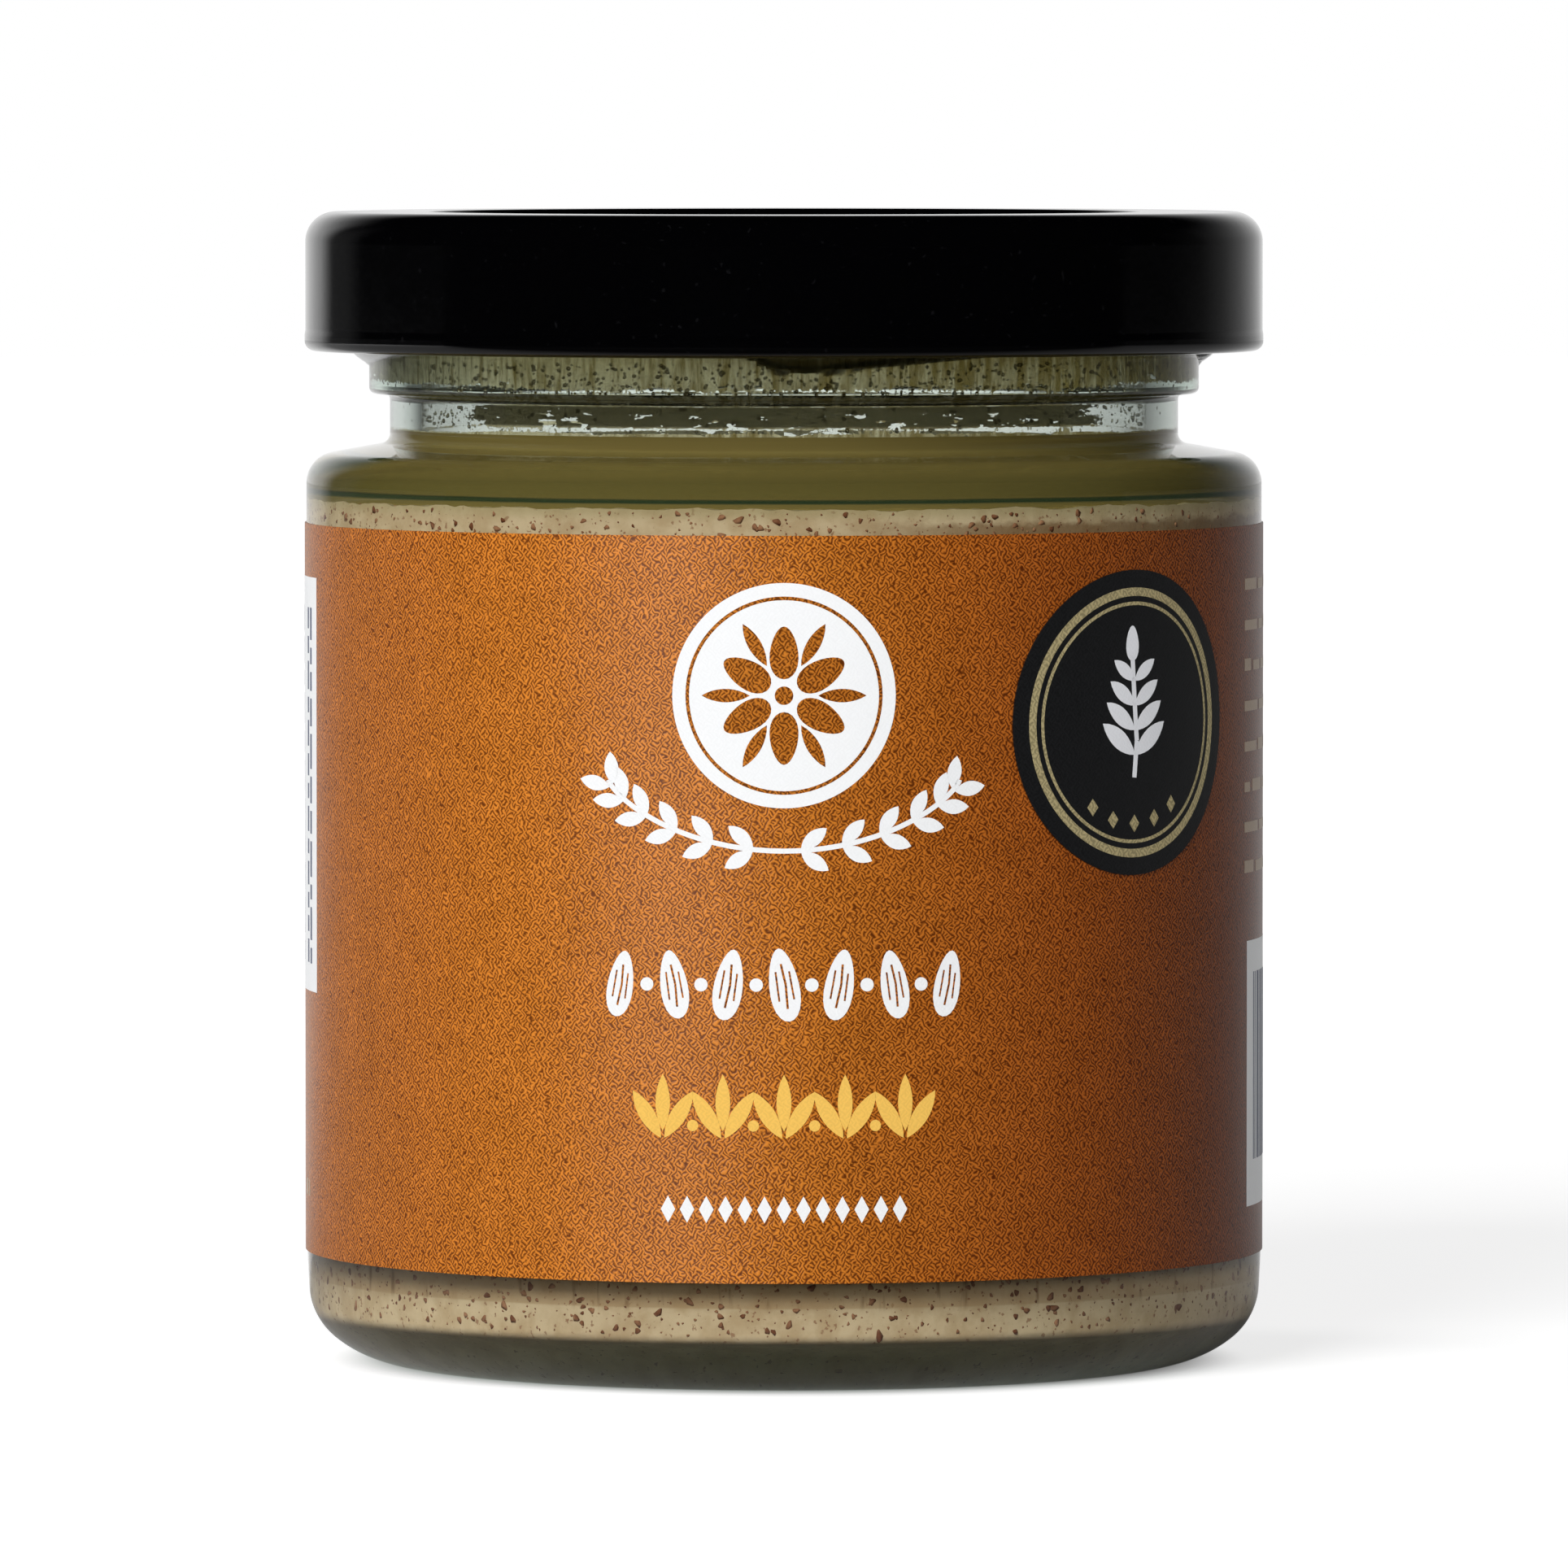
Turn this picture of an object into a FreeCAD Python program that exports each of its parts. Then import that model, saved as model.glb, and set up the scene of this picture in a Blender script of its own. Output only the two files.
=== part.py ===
import FreeCAD, Part
import os
import Sketcher

# A twist-off jar of almond butter: round glass jar, lug lid, the paste, the oil that stands on it,
# the wrap label and a round seal on the label.
# Millimetres, +Z up. The origin is the centre of the ring that the jar stands on, -Y is the front.

doc = FreeCAD.newDocument("almond_butter_jar")
sheet = doc.addObject("Spreadsheet::Sheet", "Sizes")

driving_sizes = {
    # Glass body, from the foot up
    "body_radius": 34.5,
    "body_height": 65.3,             # foot to the outer corner of the shoulder
    "body_wall": 2.3,
    "push_up": 2.0,                  # rise of the hollow under the base
    "push_up_inset": 13.0,
    "push_up_round": 3.0,
    "foot_inset": 9.7,               # from the wall in to the inner edge of the ring that the jar stands on
    "foot_round": 0.5,
    "heel_reach": 4.2,               # from the wall in to the corner of the heel's flat
    "heel_rise": 3.15,               # from the foot up to the heel's upper corner
    "heel_low_round": 8.2,
    "heel_high_round": 4.8,
    "heel_draft": 0.25,              # how far the wall leans in towards the heel
    "heel_top": 7.8,
    "wall_round": 30.0,
    "floor_height": 4.0,             # inner floor above the foot
    "floor_round": 0.5,
    "shoulder_round": 2.2,
    "shoulder_rise": 1.1,            # from the outer corner up to the neck
    "shoulder_wall": 2.5,
    "inner_shoulder_round": 2.2,
    "bore_low_round": 1.6,
    # Neck and finish
    "neck_height": 3.5,
    "neck_round": 0.8,
    "bead_depth": 1.5,               # how far the finish stands out from the neck
    "bead_round": 0.45,
    "finish_radius": 29.96,
    "finish_height": 12.3,
    "finish_wall": 3.76,
    "rim_round": 0.9,
    # Thread ridges on the finish
    "thread_rise": 1.7,              # low end of a ridge above the finish's lower edge
    "thread_lead": 16.1,             # climb in a whole turn
    "thread_climb": 2.7,             # climb along one ridge
    "thread_depth": 1.64,
    "thread_flank": 2.2,
    "thread_crest": 0.7,
    "thread_back": 0.8,
    "thread_root": 0.5,              # how far a ridge is rooted in the wall
    "thread_turn": -4.4,             # low end of the first ridge, degrees from +X
    # Lid
    "lid_gap": 2.65,                 # between the thread's crest and the skirt
    "lid_tin": 0.3,
    "lid_compound": 0.5,             # sealing compound between the tin and the rim
    "lid_round": 2.15,
    "panel_clearance": 0.9,          # between the bore and the sunk middle of the lid
    "panel_drop": 0.7,
    "panel_slope": 0.8,
    "panel_round": 0.4,
    "hem_height": 1.5,
    "hem_depth": 1.5,
    "hem_proud": 0.06,
    "hem_round": 0.7,
    "lug_arc": 23.5,
    "lug_height": 1.2,
    "lug_bite": 0.4,                 # how far a lug reaches in past the thread's crest
    "lug_clearance": 0.33,           # under the thread's flank
    "lug_round": 0.4,
    "lug_turn": 35.6,                # middle of the first lug, degrees from +X
    # Contents
    "paste_drop": 3.1,               # level of the paste below the shoulder's outer corner
    "oil_depth": 5.1,
    # Label and seal
    "label_low": 8.1,
    "label_drop": 4.7,               # top of the label below the shoulder's outer corner
    "label_film": 0.12,
    "label_gap": 12.0,               # open angle between the label's ends, at the back
    "label_front": -90.0,            # direction of the label's middle, degrees from +X
    "seal_radius": 10.8,
    "seal_drop": 13.5,               # middle of the seal below the top of the label
    "seal_film": 0.12,
    "seal_turn": -44.5,              # direction of the seal's middle, degrees from +X
}

for row, (alias, value) in enumerate(driving_sizes.items(), start=1):
    sheet.set(f"A{row}", alias.replace("_", " "))
    sheet.set(f"B{row}", str(value))
    sheet.setAlias(f"B{row}", alias)
doc.recompute()


def value_of(expression):
    """Number that an expression on the sheet stands for."""
    return float(sheet.evalExpression(expression))


def size(text):
    """Expression on the sheet, from a text in which every alias is a plain word."""
    words = text.replace("(", "( ").replace(")", " )").split()
    return " ".join("Sizes." + word if word in driving_sizes else word for word in words)


# Sizes that follow from the driving ones, shared by pieces that fit each other
neck_radius = "( finish_radius - bead_depth )"
bore_radius = "( finish_radius - finish_wall )"
inner_radius = "( body_radius - body_wall )"
crest_radius = "( finish_radius + thread_depth )"
neck_low = "( body_height + shoulder_rise )"
finish_low = f"( {neck_low} + neck_height )"
rim_height = f"( {finish_low} + finish_height )"
thread_low = f"( {finish_low} + thread_rise )"
inner_edge = "( body_height - shoulder_wall )"
paste_level = "( body_height - paste_drop )"
oil_level = f"( {paste_level} + oil_depth )"
label_radius = "( body_radius + label_film )"
label_high = "( body_height - label_drop )"
seal_height = f"( {label_high} - seal_drop )"

# Corners that the glass shares with what fills it, from the bore down to the middle of the floor
cavity = [
    (bore_radius, f"{inner_edge} + shoulder_rise", "bore_low_round"),
    (inner_radius, inner_edge, "inner_shoulder_round"),
    (inner_radius, "floor_height", "floor_round"),
    ("0", "floor_height", None),
]


def new_body(label, turn="0"):
    """Body whose own front, +X, is turned around the jar's axis."""
    body = doc.addObject("PartDesign::Body", label)
    body.Label = label
    turned = f"rotation(vector(0; 0; 1); {size(turn)})"
    body.setExpression("Placement", f"placement(vector(0; 0; 0); {turned})")
    return body


def new_sketch(body, name, role="XZ_Plane"):
    sketch = body.newObject("Sketcher::SketchObject", name)
    plane = next(item for item in body.Origin.OriginFeatures if item.Role == role)
    sketch.AttachmentSupport = (plane, [""])
    sketch.MapMode = "FlatFace"
    return sketch


def bind(sketch, constraint, name, expression):
    """Adds a constraint to the sketch and ties it to the sheet."""
    index = sketch.addConstraint(constraint)
    sketch.renameConstraint(index, name)
    sketch.setExpression(f"Constraints.{name}", expression)


def add_outline(sketch, corners):
    """Closed outline of straight runs through corners of (across, up, rounding or None), all bound to the sheet."""
    corners = [(size(across), size(up), size(rounding) if rounding else None) for across, up, rounding in corners]
    points = [FreeCAD.Vector(value_of(across), value_of(up), 0) for across, up, _ in corners]
    count = len(points)
    for run in range(count):
        sketch.addGeometry(Part.LineSegment(points[run], points[(run + 1) % count]), False)
    for run in range(count):
        sketch.addConstraint(Sketcher.Constraint("Coincident", run, 2, (run + 1) % count, 1))
    for run, (across, up, _) in enumerate(corners):
        for kind, expression in (("DistanceX", across), ("DistanceY", up)):
            distance = Sketcher.Constraint(kind, -1, 1, run, 1, value_of(expression))
            bind(sketch, distance, f"{kind[-1].lower()}_{run}", expression)
    for run, (_, _, rounding) in enumerate(corners):
        if rounding:
            first_new = sketch.GeometryCount
            sketch.fillet(run, 1, value_of(rounding), True, True)
            arc = next(item for item in range(first_new, sketch.GeometryCount)
                       if isinstance(sketch.Geometry[item], Part.ArcOfCircle))
            bind(sketch, Sketcher.Constraint("Radius", arc, value_of(rounding)), f"round_{run}", rounding)


def turn_outline(body, kind, name, corners, arc="360"):
    """Revolution or groove of an outline around the vertical axis."""
    sketch = new_sketch(body, name + "_outline")
    add_outline(sketch, corners)
    feature = body.newObject(kind, name)
    feature.Profile = sketch
    feature.ReferenceAxis = (sketch, ["V_Axis"])
    feature.Midplane = True
    feature.Angle = value_of(size(arc))
    feature.setExpression("Angle", size(arc))
    doc.recompute()
    return feature


def repeat_around(body, feature, name, times):
    pattern = body.newObject("PartDesign::PolarPattern", name)
    pattern.Originals = [feature]
    pattern.Axis = (feature.Profile[0], ["V_Axis"])
    pattern.Angle = 360
    pattern.Occurrences = times
    body.Tip = pattern
    doc.recompute()
    return pattern


def glass_jar():
    body = new_body("glass_jar", "thread_turn")
    outside = [
        ("0", "push_up", None),
        ("body_radius - push_up_inset", "push_up", "push_up_round"),
        ("body_radius - foot_inset", "0", "foot_round"),
        ("body_radius - heel_reach", "0", "heel_low_round"),
        ("body_radius - heel_draft", "heel_rise", "heel_high_round"),
        ("body_radius", "heel_top", "wall_round"),
        ("body_radius", "body_height", "shoulder_round"),
        (neck_radius, neck_low, "neck_round"),
        (neck_radius, finish_low, "bead_round"),
        ("finish_radius", finish_low, "bead_round"),
        ("finish_radius", rim_height, "rim_round"),
        (bore_radius, rim_height, "rim_round"),
    ]
    turn_outline(body, "PartDesign::Revolution", "wall", outside + cavity)

    # Four ridges climb the finish, and the lid's lugs hook under them
    crest_low = f"{thread_low} + thread_flank"
    inside = "( finish_radius - thread_root )"
    back = "thread_crest + thread_back * ( 1 + thread_root / thread_depth )"
    outline = new_sketch(body, "ridge_outline")
    add_outline(outline, [
        (inside, f"{thread_low} - thread_flank * thread_root / thread_depth", None),
        (crest_radius, crest_low, None),
        (crest_radius, f"{crest_low} + thread_crest", None),
        (inside, f"{crest_low} + {back}", None),
    ])
    ridge = body.newObject("PartDesign::AdditiveHelix", "ridge")
    ridge.Profile = outline
    ridge.ReferenceAxis = (outline, ["V_Axis"])
    ridge.setExpression("Pitch", size("thread_lead"))
    ridge.setExpression("Height", size("thread_climb"))
    doc.recompute()
    repeat_around(body, ridge, "ridges", 4)


def lid():
    body = new_body("lid", "lug_turn")
    skirt_inner = f"( {crest_radius} + lid_gap )"
    lid_radius = f"( {skirt_inner} + lid_tin )"
    tin_low = f"( {rim_height} + lid_compound )"
    top = f"( {tin_low} + lid_tin )"
    # A lug's upper side meets the low flank of the ridge above it, at the lug's low end
    lug_tip = f"( {crest_radius} - lug_bite )"
    climb = "thread_lead * ( lug_turn - lug_arc / 2 - thread_turn ) / 360"
    flank = "thread_flank * ( 1 - lug_bite / thread_depth )"
    lug_high = f"( {thread_low} + {climb} + {flank} - lug_clearance )"
    bottom = f"( {lug_high} - lug_height )"
    hem_high = f"( {bottom} + hem_height )"
    hem_radius = f"( {lid_radius} + hem_proud )"
    hem_inner = f"( {hem_radius} - hem_depth )"
    panel_radius = f"( {bore_radius} - panel_clearance )"
    panel_high = f"( {top} - panel_drop )"
    panel_low = f"( {panel_high} - lid_tin )"
    compound_radius = "( finish_radius + thread_depth / 2 )"
    turn_outline(body, "PartDesign::Revolution", "shell", [
        ("0", panel_high, None),
        (f"{panel_radius} - lid_tin", panel_high, "panel_round"),
        (f"{panel_radius} - lid_tin + panel_slope", top, "panel_round"),
        (lid_radius, top, "lid_round"),
        (lid_radius, hem_high, None),
        (hem_radius, f"{hem_high} - hem_round / 2", None),
        (hem_radius, bottom, "hem_round"),
        (hem_inner, bottom, "hem_round"),
        (hem_inner, hem_high, "hem_round / 2"),
        (skirt_inner, f"{hem_high} + hem_round / 2", None),
        (skirt_inner, tin_low, "lid_round - lid_tin"),
        (compound_radius, tin_low, None),
        (compound_radius, rim_height, None),
        (f"{panel_radius} + panel_slope", rim_height, None),
        (panel_radius, panel_low, None),
        ("0", panel_low, None),
    ])
    lug_back = f"( {hem_radius} - hem_depth / 2 )"
    lug = turn_outline(body, "PartDesign::Revolution", "lug", [
        (lug_tip, bottom, "lug_round"),
        (lug_back, bottom, None),
        (lug_back, lug_high, None),
        (lug_tip, lug_high, "lug_round"),
    ], "lug_arc")
    repeat_around(body, lug, "lugs", 4)


def filling(label, low, high):
    """What fills the cavity between two levels, with the glass's own inner faces."""
    body = new_body(label)
    column = [("0", rim_height, None), (bore_radius, rim_height, None)]
    turn_outline(body, "PartDesign::Revolution", label + "_column", column + cavity)
    cuts = {"below": ("0", low), "above": (high, f"{rim_height} * 2")}
    for name, (start, end) in cuts.items():
        if value_of(size(start)) < value_of(size(end)):
            turn_outline(body, "PartDesign::Groove", f"{label}_{name}", ring("0", "body_radius", start, end))


def ring(inner, outer, low, high):
    """Corners of a plain ring's section."""
    return [(inner, low, None), (outer, low, None), (outer, high, None), (inner, high, None)]


def label_wrap():
    body = new_body("label", "label_front")
    section = ring("body_radius", label_radius, "label_low", label_high)
    turn_outline(body, "PartDesign::Revolution", "wrap", section, "360 - label_gap")


def round_seal():
    body = new_body("round_seal", "seal_turn")
    outline = new_sketch(body, "disc_outline", "YZ_Plane")
    centre = FreeCAD.Vector(0, value_of(size(seal_height)), 0)
    circle = Part.Circle(centre, FreeCAD.Vector(0, 0, 1), value_of(size("seal_radius")))
    outline.addGeometry(circle, False)
    bind(outline, Sketcher.Constraint("Radius", 0, circle.Radius), "radius", size("seal_radius"))
    bind(outline, Sketcher.Constraint("DistanceY", -1, 1, 0, 3, centre.y), "up", size(seal_height))
    outline.addConstraint(Sketcher.Constraint("PointOnObject", 0, 3, -2))
    disc = body.newObject("PartDesign::Pad", "disc")
    disc.Profile = outline
    disc.setExpression("Length", size("body_radius * 2"))
    doc.recompute()
    low, high = f"{seal_height} - seal_radius * 2", f"{seal_height} + seal_radius * 2"
    turn_outline(body, "PartDesign::Groove", "under", ring("0", label_radius, low, high))
    turn_outline(body, "PartDesign::Groove", "over", ring(f"{label_radius} + seal_film", "body_radius * 3", low, high))


glass_jar()
lid()
filling("almond_butter", "0", paste_level)
filling("oil_layer", paste_level, oil_level)
label_wrap()
round_seal()
doc.recompute()

for item in doc.Objects:
    if "Invalid" in item.State or "Error" in item.State:
        raise RuntimeError(f"{item.Label} did not build: {item.State}")

pieces = [item for item in doc.Objects if item.TypeId == "PartDesign::Body"]
for piece in pieces:
    shape = piece.Shape
    if shape.isNull() or not shape.isValid() or len(shape.Solids) != 1:
        raise RuntimeError(f"{piece.Label} is not one sound solid")

os.makedirs("parts", exist_ok=True)
for piece in pieces:
    piece.Shape.exportStep(f"parts/{piece.Label}.step")
    print(f"{piece.Label}: {piece.Shape.Volume / 1000:.2f} cm3")
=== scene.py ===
import math
import random
from functools import partial

import bmesh
import bpy
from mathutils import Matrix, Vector, noise


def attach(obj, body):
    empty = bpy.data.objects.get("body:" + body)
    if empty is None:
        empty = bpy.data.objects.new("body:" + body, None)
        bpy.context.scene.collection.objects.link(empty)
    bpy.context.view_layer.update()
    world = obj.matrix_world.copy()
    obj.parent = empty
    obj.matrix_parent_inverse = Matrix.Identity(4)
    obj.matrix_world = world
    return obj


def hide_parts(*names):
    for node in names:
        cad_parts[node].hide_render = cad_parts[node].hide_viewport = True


# A twist-off jar of almond butter: glass, lid, paste with skin flecks, oil on top, wrap label and round seal.
# Metres in the frame. Sizes in the dictionaries are millimetres, those of the floor, lamps and camera metres.
# -Y is the front of the label.

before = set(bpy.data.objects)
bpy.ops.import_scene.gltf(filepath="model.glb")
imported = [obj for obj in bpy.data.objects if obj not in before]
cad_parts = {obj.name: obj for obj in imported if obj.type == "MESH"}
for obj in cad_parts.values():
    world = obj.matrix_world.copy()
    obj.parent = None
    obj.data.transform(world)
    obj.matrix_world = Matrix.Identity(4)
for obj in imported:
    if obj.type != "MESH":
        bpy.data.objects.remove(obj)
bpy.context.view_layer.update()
mm = 0.001
print("frame loaded:", ", ".join(sorted(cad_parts)))


# Node trees: a value is a socket or a plain number

def link(source, target):
    source.id_data.links.new(source, target)


def feed(target, value):
    if isinstance(value, bpy.types.NodeSocket):
        link(value, target)
    elif target.type == "RGBA":
        target.default_value = (*value, 1)
    else:
        target.default_value = value


def addNode(kind, inputs=None, tree=None, **settings):
    # Goes in the tree that its inputs come from, and gives its outputs
    inputs = inputs or {}
    tree = tree or next(value.id_data for value in inputs.values() if isinstance(value, bpy.types.NodeSocket))
    node = tree.nodes.new(kind)
    for name, value in settings.items():
        setattr(node, name, value)
    for name, value in inputs.items():
        feed(node.inputs[name], value)
    return node.outputs


def mathNode(operation, *values, clamp=False):
    return addNode("ShaderNodeMath", dict(enumerate(values)), operation=operation, use_clamp=clamp)[0]


plus, minus, times, over = (partial(mathNode, kind) for kind in ("ADD", "SUBTRACT", "MULTIPLY", "DIVIDE"))
timesPlus, largest, positive = (partial(mathNode, kind) for kind in ("MULTIPLY_ADD", "MAXIMUM", "ABSOLUTE"))


def fade(value, start, end, low=0.0, high=1.0):
    # Runs smoothly from low, where the value is at start, to high at end
    inputs = {"Value": value, "From Min": start, "From Max": end, "To Min": low, "To Max": high}
    return addNode("ShaderNodeMapRange", inputs, interpolation_type="SMOOTHSTEP")[0]


def joined(*values):
    return addNode("ShaderNodeCombineXYZ", dict(enumerate(values)))[0]


def split(vector):
    return addNode("ShaderNodeSeparateXYZ", {0: vector})


def newTree(name, inputs, outputs=None):
    # Each socket has a name, and either a number to start from or its type; a tree of meshes names no outputs
    tree = bpy.data.node_groups.new(name, "ShaderNodeTree" if outputs else "GeometryNodeTree")
    if not outputs:
        inputs, outputs = {**inputs, "Material": "Material"}, {"Mesh": "Geometry"}
    for way, sockets in (("INPUT", inputs), ("OUTPUT", outputs)):
        for label, value in sockets.items():
            typed = value if isinstance(value, str) else "Int" if isinstance(value, int) else "Float"
            socket = tree.interface.new_socket(label, in_out=way, socket_type="NodeSocket" + typed)
            if not isinstance(value, str):
                socket.default_value = value
    return tree, tree.nodes.new("NodeGroupInput").outputs, tree.nodes.new("NodeGroupOutput").inputs


def realMesh(given, result, mesh):
    real = addNode("GeometryNodeRealizeInstances", {0: mesh})[0]
    paint = addNode("GeometryNodeSetMaterial", {"Geometry": real, "Material": given["Material"]})
    link(paint[0], result["Mesh"])


def putShapes(given, result, points, rotation, scale):
    shape = addNode("GeometryNodeObjectInfo", {0: given["Shape"]})["Geometry"]
    put = addNode("GeometryNodeInstanceOnPoints",
                  {"Points": points, "Instance": shape, "Rotation": rotation, "Scale": scale})
    realMesh(given, result, put[0])


# Outlines and turning

meshing = {"arcTurn": 0.2,      # radians, the widest step along a rounding
           "hold": 0.08,        # a point this close to each end keeps a straight run flat in its shading
           "sharp": 32, "weld": 2e-7}


def roundedRun(corners, arcStep=0.35, longest=4.0):
    # Points along straight runs through (across, up, rounding) corners; roundings become arcs
    stops = []
    for index, (across, up, rounding) in enumerate(corners):
        here = Vector((across, up))
        if not rounding or index in (0, len(corners) - 1):
            stops.append([here])
            continue
        back = (Vector(corners[index - 1][:2]) - here).normalized()
        ahead = (Vector(corners[index + 1][:2]) - here).normalized()
        half = back.angle(ahead) / 2
        centre = here + (back + ahead).normalized() * rounding / math.sin(half)
        first = here + back * rounding / math.tan(half) - centre
        last = here + ahead * rounding / math.tan(half) - centre
        turn = first.angle_signed(last)
        steps = max(3, math.ceil(abs(turn) * rounding / arcStep), math.ceil(abs(turn) / meshing["arcTurn"]))
        arc = []
        for step in range(steps + 1):
            angle = -turn * step / steps
            c, s = math.cos(angle), math.sin(angle)
            arc.append(centre + Vector((first.x * c - first.y * s, first.x * s + first.y * c)))
        stops.append(arc)
    points = []
    for arc in stops:
        if points:
            start, run = points[-1], (arc[0] - points[-1]).length
            hold = min(meshing["hold"], run / 3)
            extra = max(1, math.ceil(run / longest))
            shares = [n / extra for n in range(1, extra)] + [hold / run, 1 - hold / run]
            points += [start.lerp(arc[0], share) for share in sorted(shares)]
        points += arc
    return points


def latheTree():
    # Turns the object's own chain of points (across = X, up = Z) around the vertical axis, with thread ridges
    tree, given, result = newTree("turnedProfile", {
        "Profile": "Geometry", "Columns": 256, "Start": 0.0, "Sweep": math.tau, "Ridge Turn": 0.0,
        "Ridge Low": 0.0, "Ridge Lead": 0.0, "Ridge Arc": 1.0, "Ridge Height": 0.004, "Ridge Depth": 0.0,
        "Ridge Inner": 0.0, "Ridge Rounding": 0.16})
    count = addNode("GeometryNodeAttributeDomainSize", {0: given["Profile"]})["Point Count"]
    columns = plus(given["Columns"], 1.0)
    grid = addNode("GeometryNodeMeshGrid", {"Vertices X": count, "Vertices Y": columns})
    index = addNode("GeometryNodeInputIndex", tree=tree)[0]
    row = mathNode("FLOOR", over(plus(index, 0.5), columns))
    column = minus(index, times(row, columns))
    point = {"Geometry": given["Profile"], "Index": row,
             "Value": addNode("GeometryNodeInputPosition", tree=tree)[0]}
    across, _, up = split(addNode("GeometryNodeSampleIndex", point, data_type="FLOAT_VECTOR")[0])
    angle = timesPlus(over(column, given["Columns"]), given["Sweep"], given["Start"])

    # A ridge starts every quarter turn and climbs; both ends are rounded off
    local = mathNode("FLOORED_MODULO", minus(angle, given["Ridge Turn"]), math.tau / 4)
    fromEnd = mathNode("MINIMUM", local, minus(given["Ridge Arc"], local))
    ramp = minus(1.0, over(fromEnd, given["Ridge Rounding"], clamp=True))
    roundEnd = mathNode("SQRT", minus(1.0, times(ramp, ramp)))
    halfHeight = times(given["Ridge Height"], 0.5)
    climb = over(times(local, given["Ridge Lead"]), math.tau)
    middle = plus(plus(given["Ridge Low"], halfHeight), climb)
    tall = largest(times(halfHeight, roundEnd), 1e-6)     # never a division by nothing
    away = over(minus(up, middle), tall)
    bump = times(minus(1.0, times(away, away), clamp=True), mathNode("SQRT", roundEnd))
    outer = mathNode("GREATER_THAN", across, given["Ridge Inner"])
    radius = plus(across, times(times(bump, outer), given["Ridge Depth"]))

    place = joined(times(radius, mathNode("COSINE", angle)), times(radius, mathNode("SINE", angle)), up)
    move = addNode("GeometryNodeSetPosition", {"Geometry": grid["Mesh"], "Position": place})
    merge = addNode("GeometryNodeMergeByDistance", {"Geometry": move[0], "Distance": meshing["weld"]})
    realMesh(given, result, merge[0])
    return tree


def scatterTree():
    # Puts turned copies of a shape on a surface, of uneven size and length
    tree, given, result = newTree("scatterOnSurface", {
        "Surface": "Geometry", "Shape": "Object", "Density": 1e5, "Smallest": 0.0001, "Largest": 0.0004,
        "Longest": 2.0, "Flatness": 0.3, "Evenness": 2.0, "Seed": 0})
    weight = addNode("GeometryNodeInputNamedAttribute", {"Name": "share"}, tree, data_type="FLOAT")[0]
    spread = addNode("GeometryNodeDistributePointsOnFaces", {
        "Mesh": given["Surface"], "Density": times(given["Density"], weight), "Seed": given["Seed"]})

    def rolled(low, high, offset):
        inputs = {2: low, 3: high, "Seed": plus(given["Seed"], offset)}
        return addNode("FunctionNodeRandomValue", inputs, data_type="FLOAT")[1]

    bias = mathNode("POWER", rolled(0, 1, 1.0), given["Evenness"])
    size = timesPlus(minus(given["Largest"], given["Smallest"]), bias, given["Smallest"])
    stretch = timesPlus(minus(given["Longest"], 1.0), rolled(0, 1, 2.0), 1.0)
    scale = joined(size, times(size, stretch), times(size, given["Flatness"]))
    align, straightUp = "FunctionNodeAlignRotationToVector", (0, 0, 1)
    lie = addNode(align, {"Vector": spread["Normal"]}, axis="Z")[0]
    stand = addNode(align, {"Vector": straightUp, "Rotation": lie}, axis="Y", pivot_axis="Z")[0]
    angle = rolled(-math.pi, math.pi, 3.0)
    spin = addNode("FunctionNodeAxisAngleToRotation", {"Axis": straightUp, "Angle": angle})[0]
    turn = addNode("FunctionNodeRotateRotation", {"Rotation": stand, "Rotate By": spin}, rotation_space="LOCAL")
    putShapes(given, result, spread["Points"], turn[0], scale)
    return tree


def rowTree():
    # A row of one flat shape: count, spacing, lean to and fro, and ends smaller than the middle
    tree, given, result = newTree("rowOfShapes", {
        "Shape": "Object", "Count": 0, "Spacing": 0.0, "Lean": 0.0, "Taper": 0.0, "Height": 0.0})
    line = addNode("GeometryNodeMeshLine", {"Count": given["Count"]})[0]
    index = addNode("GeometryNodeInputIndex", tree=tree)[0]
    middle = times(minus(given["Count"], 1.0), 0.5)
    off = minus(index, middle)
    place = joined(times(off, given["Spacing"]), given["Height"])
    move = addNode("GeometryNodeSetPosition", {"Geometry": line, "Position": place})
    sign = timesPlus(mathNode("MODULO", index, 2.0), 2.0, -1.0)
    angle = joined(0.0, 0.0, times(sign, given["Lean"]))
    share = over(positive(off), largest(middle, 1.0))
    putShapes(given, result, move[0], angle, minus(1.0, times(share, given["Taper"])))
    return tree


latheNodes, scatterNodes, rowNodes = latheTree(), scatterTree(), rowTree()


def addObject(name, data):
    obj = bpy.data.objects.new(name, data)
    bpy.context.scene.collection.objects.link(obj)
    return obj


def plainMesh(name, shape):
    mesh = bpy.data.meshes.new(name)
    shape.to_mesh(mesh)
    shape.free()
    return mesh


def runNodes(obj, tree, name, **values):
    # Leaves what the tree makes as a plain mesh, with the modifier gone
    modifier = obj.modifiers.new("nodes", "NODES")
    modifier.node_group = tree
    for item in tree.interface.items_tree:
        if item.in_out == "INPUT" and item.name in values:
            modifier[item.identifier] = values[item.name]
    mesh = bpy.data.meshes.new_from_object(obj.evaluated_get(bpy.context.evaluated_depsgraph_get()))
    mesh.name = name
    obj.modifiers.clear()
    obj.data = mesh
    print(f"{name}: {len(mesh.polygons)} faces")


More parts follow.
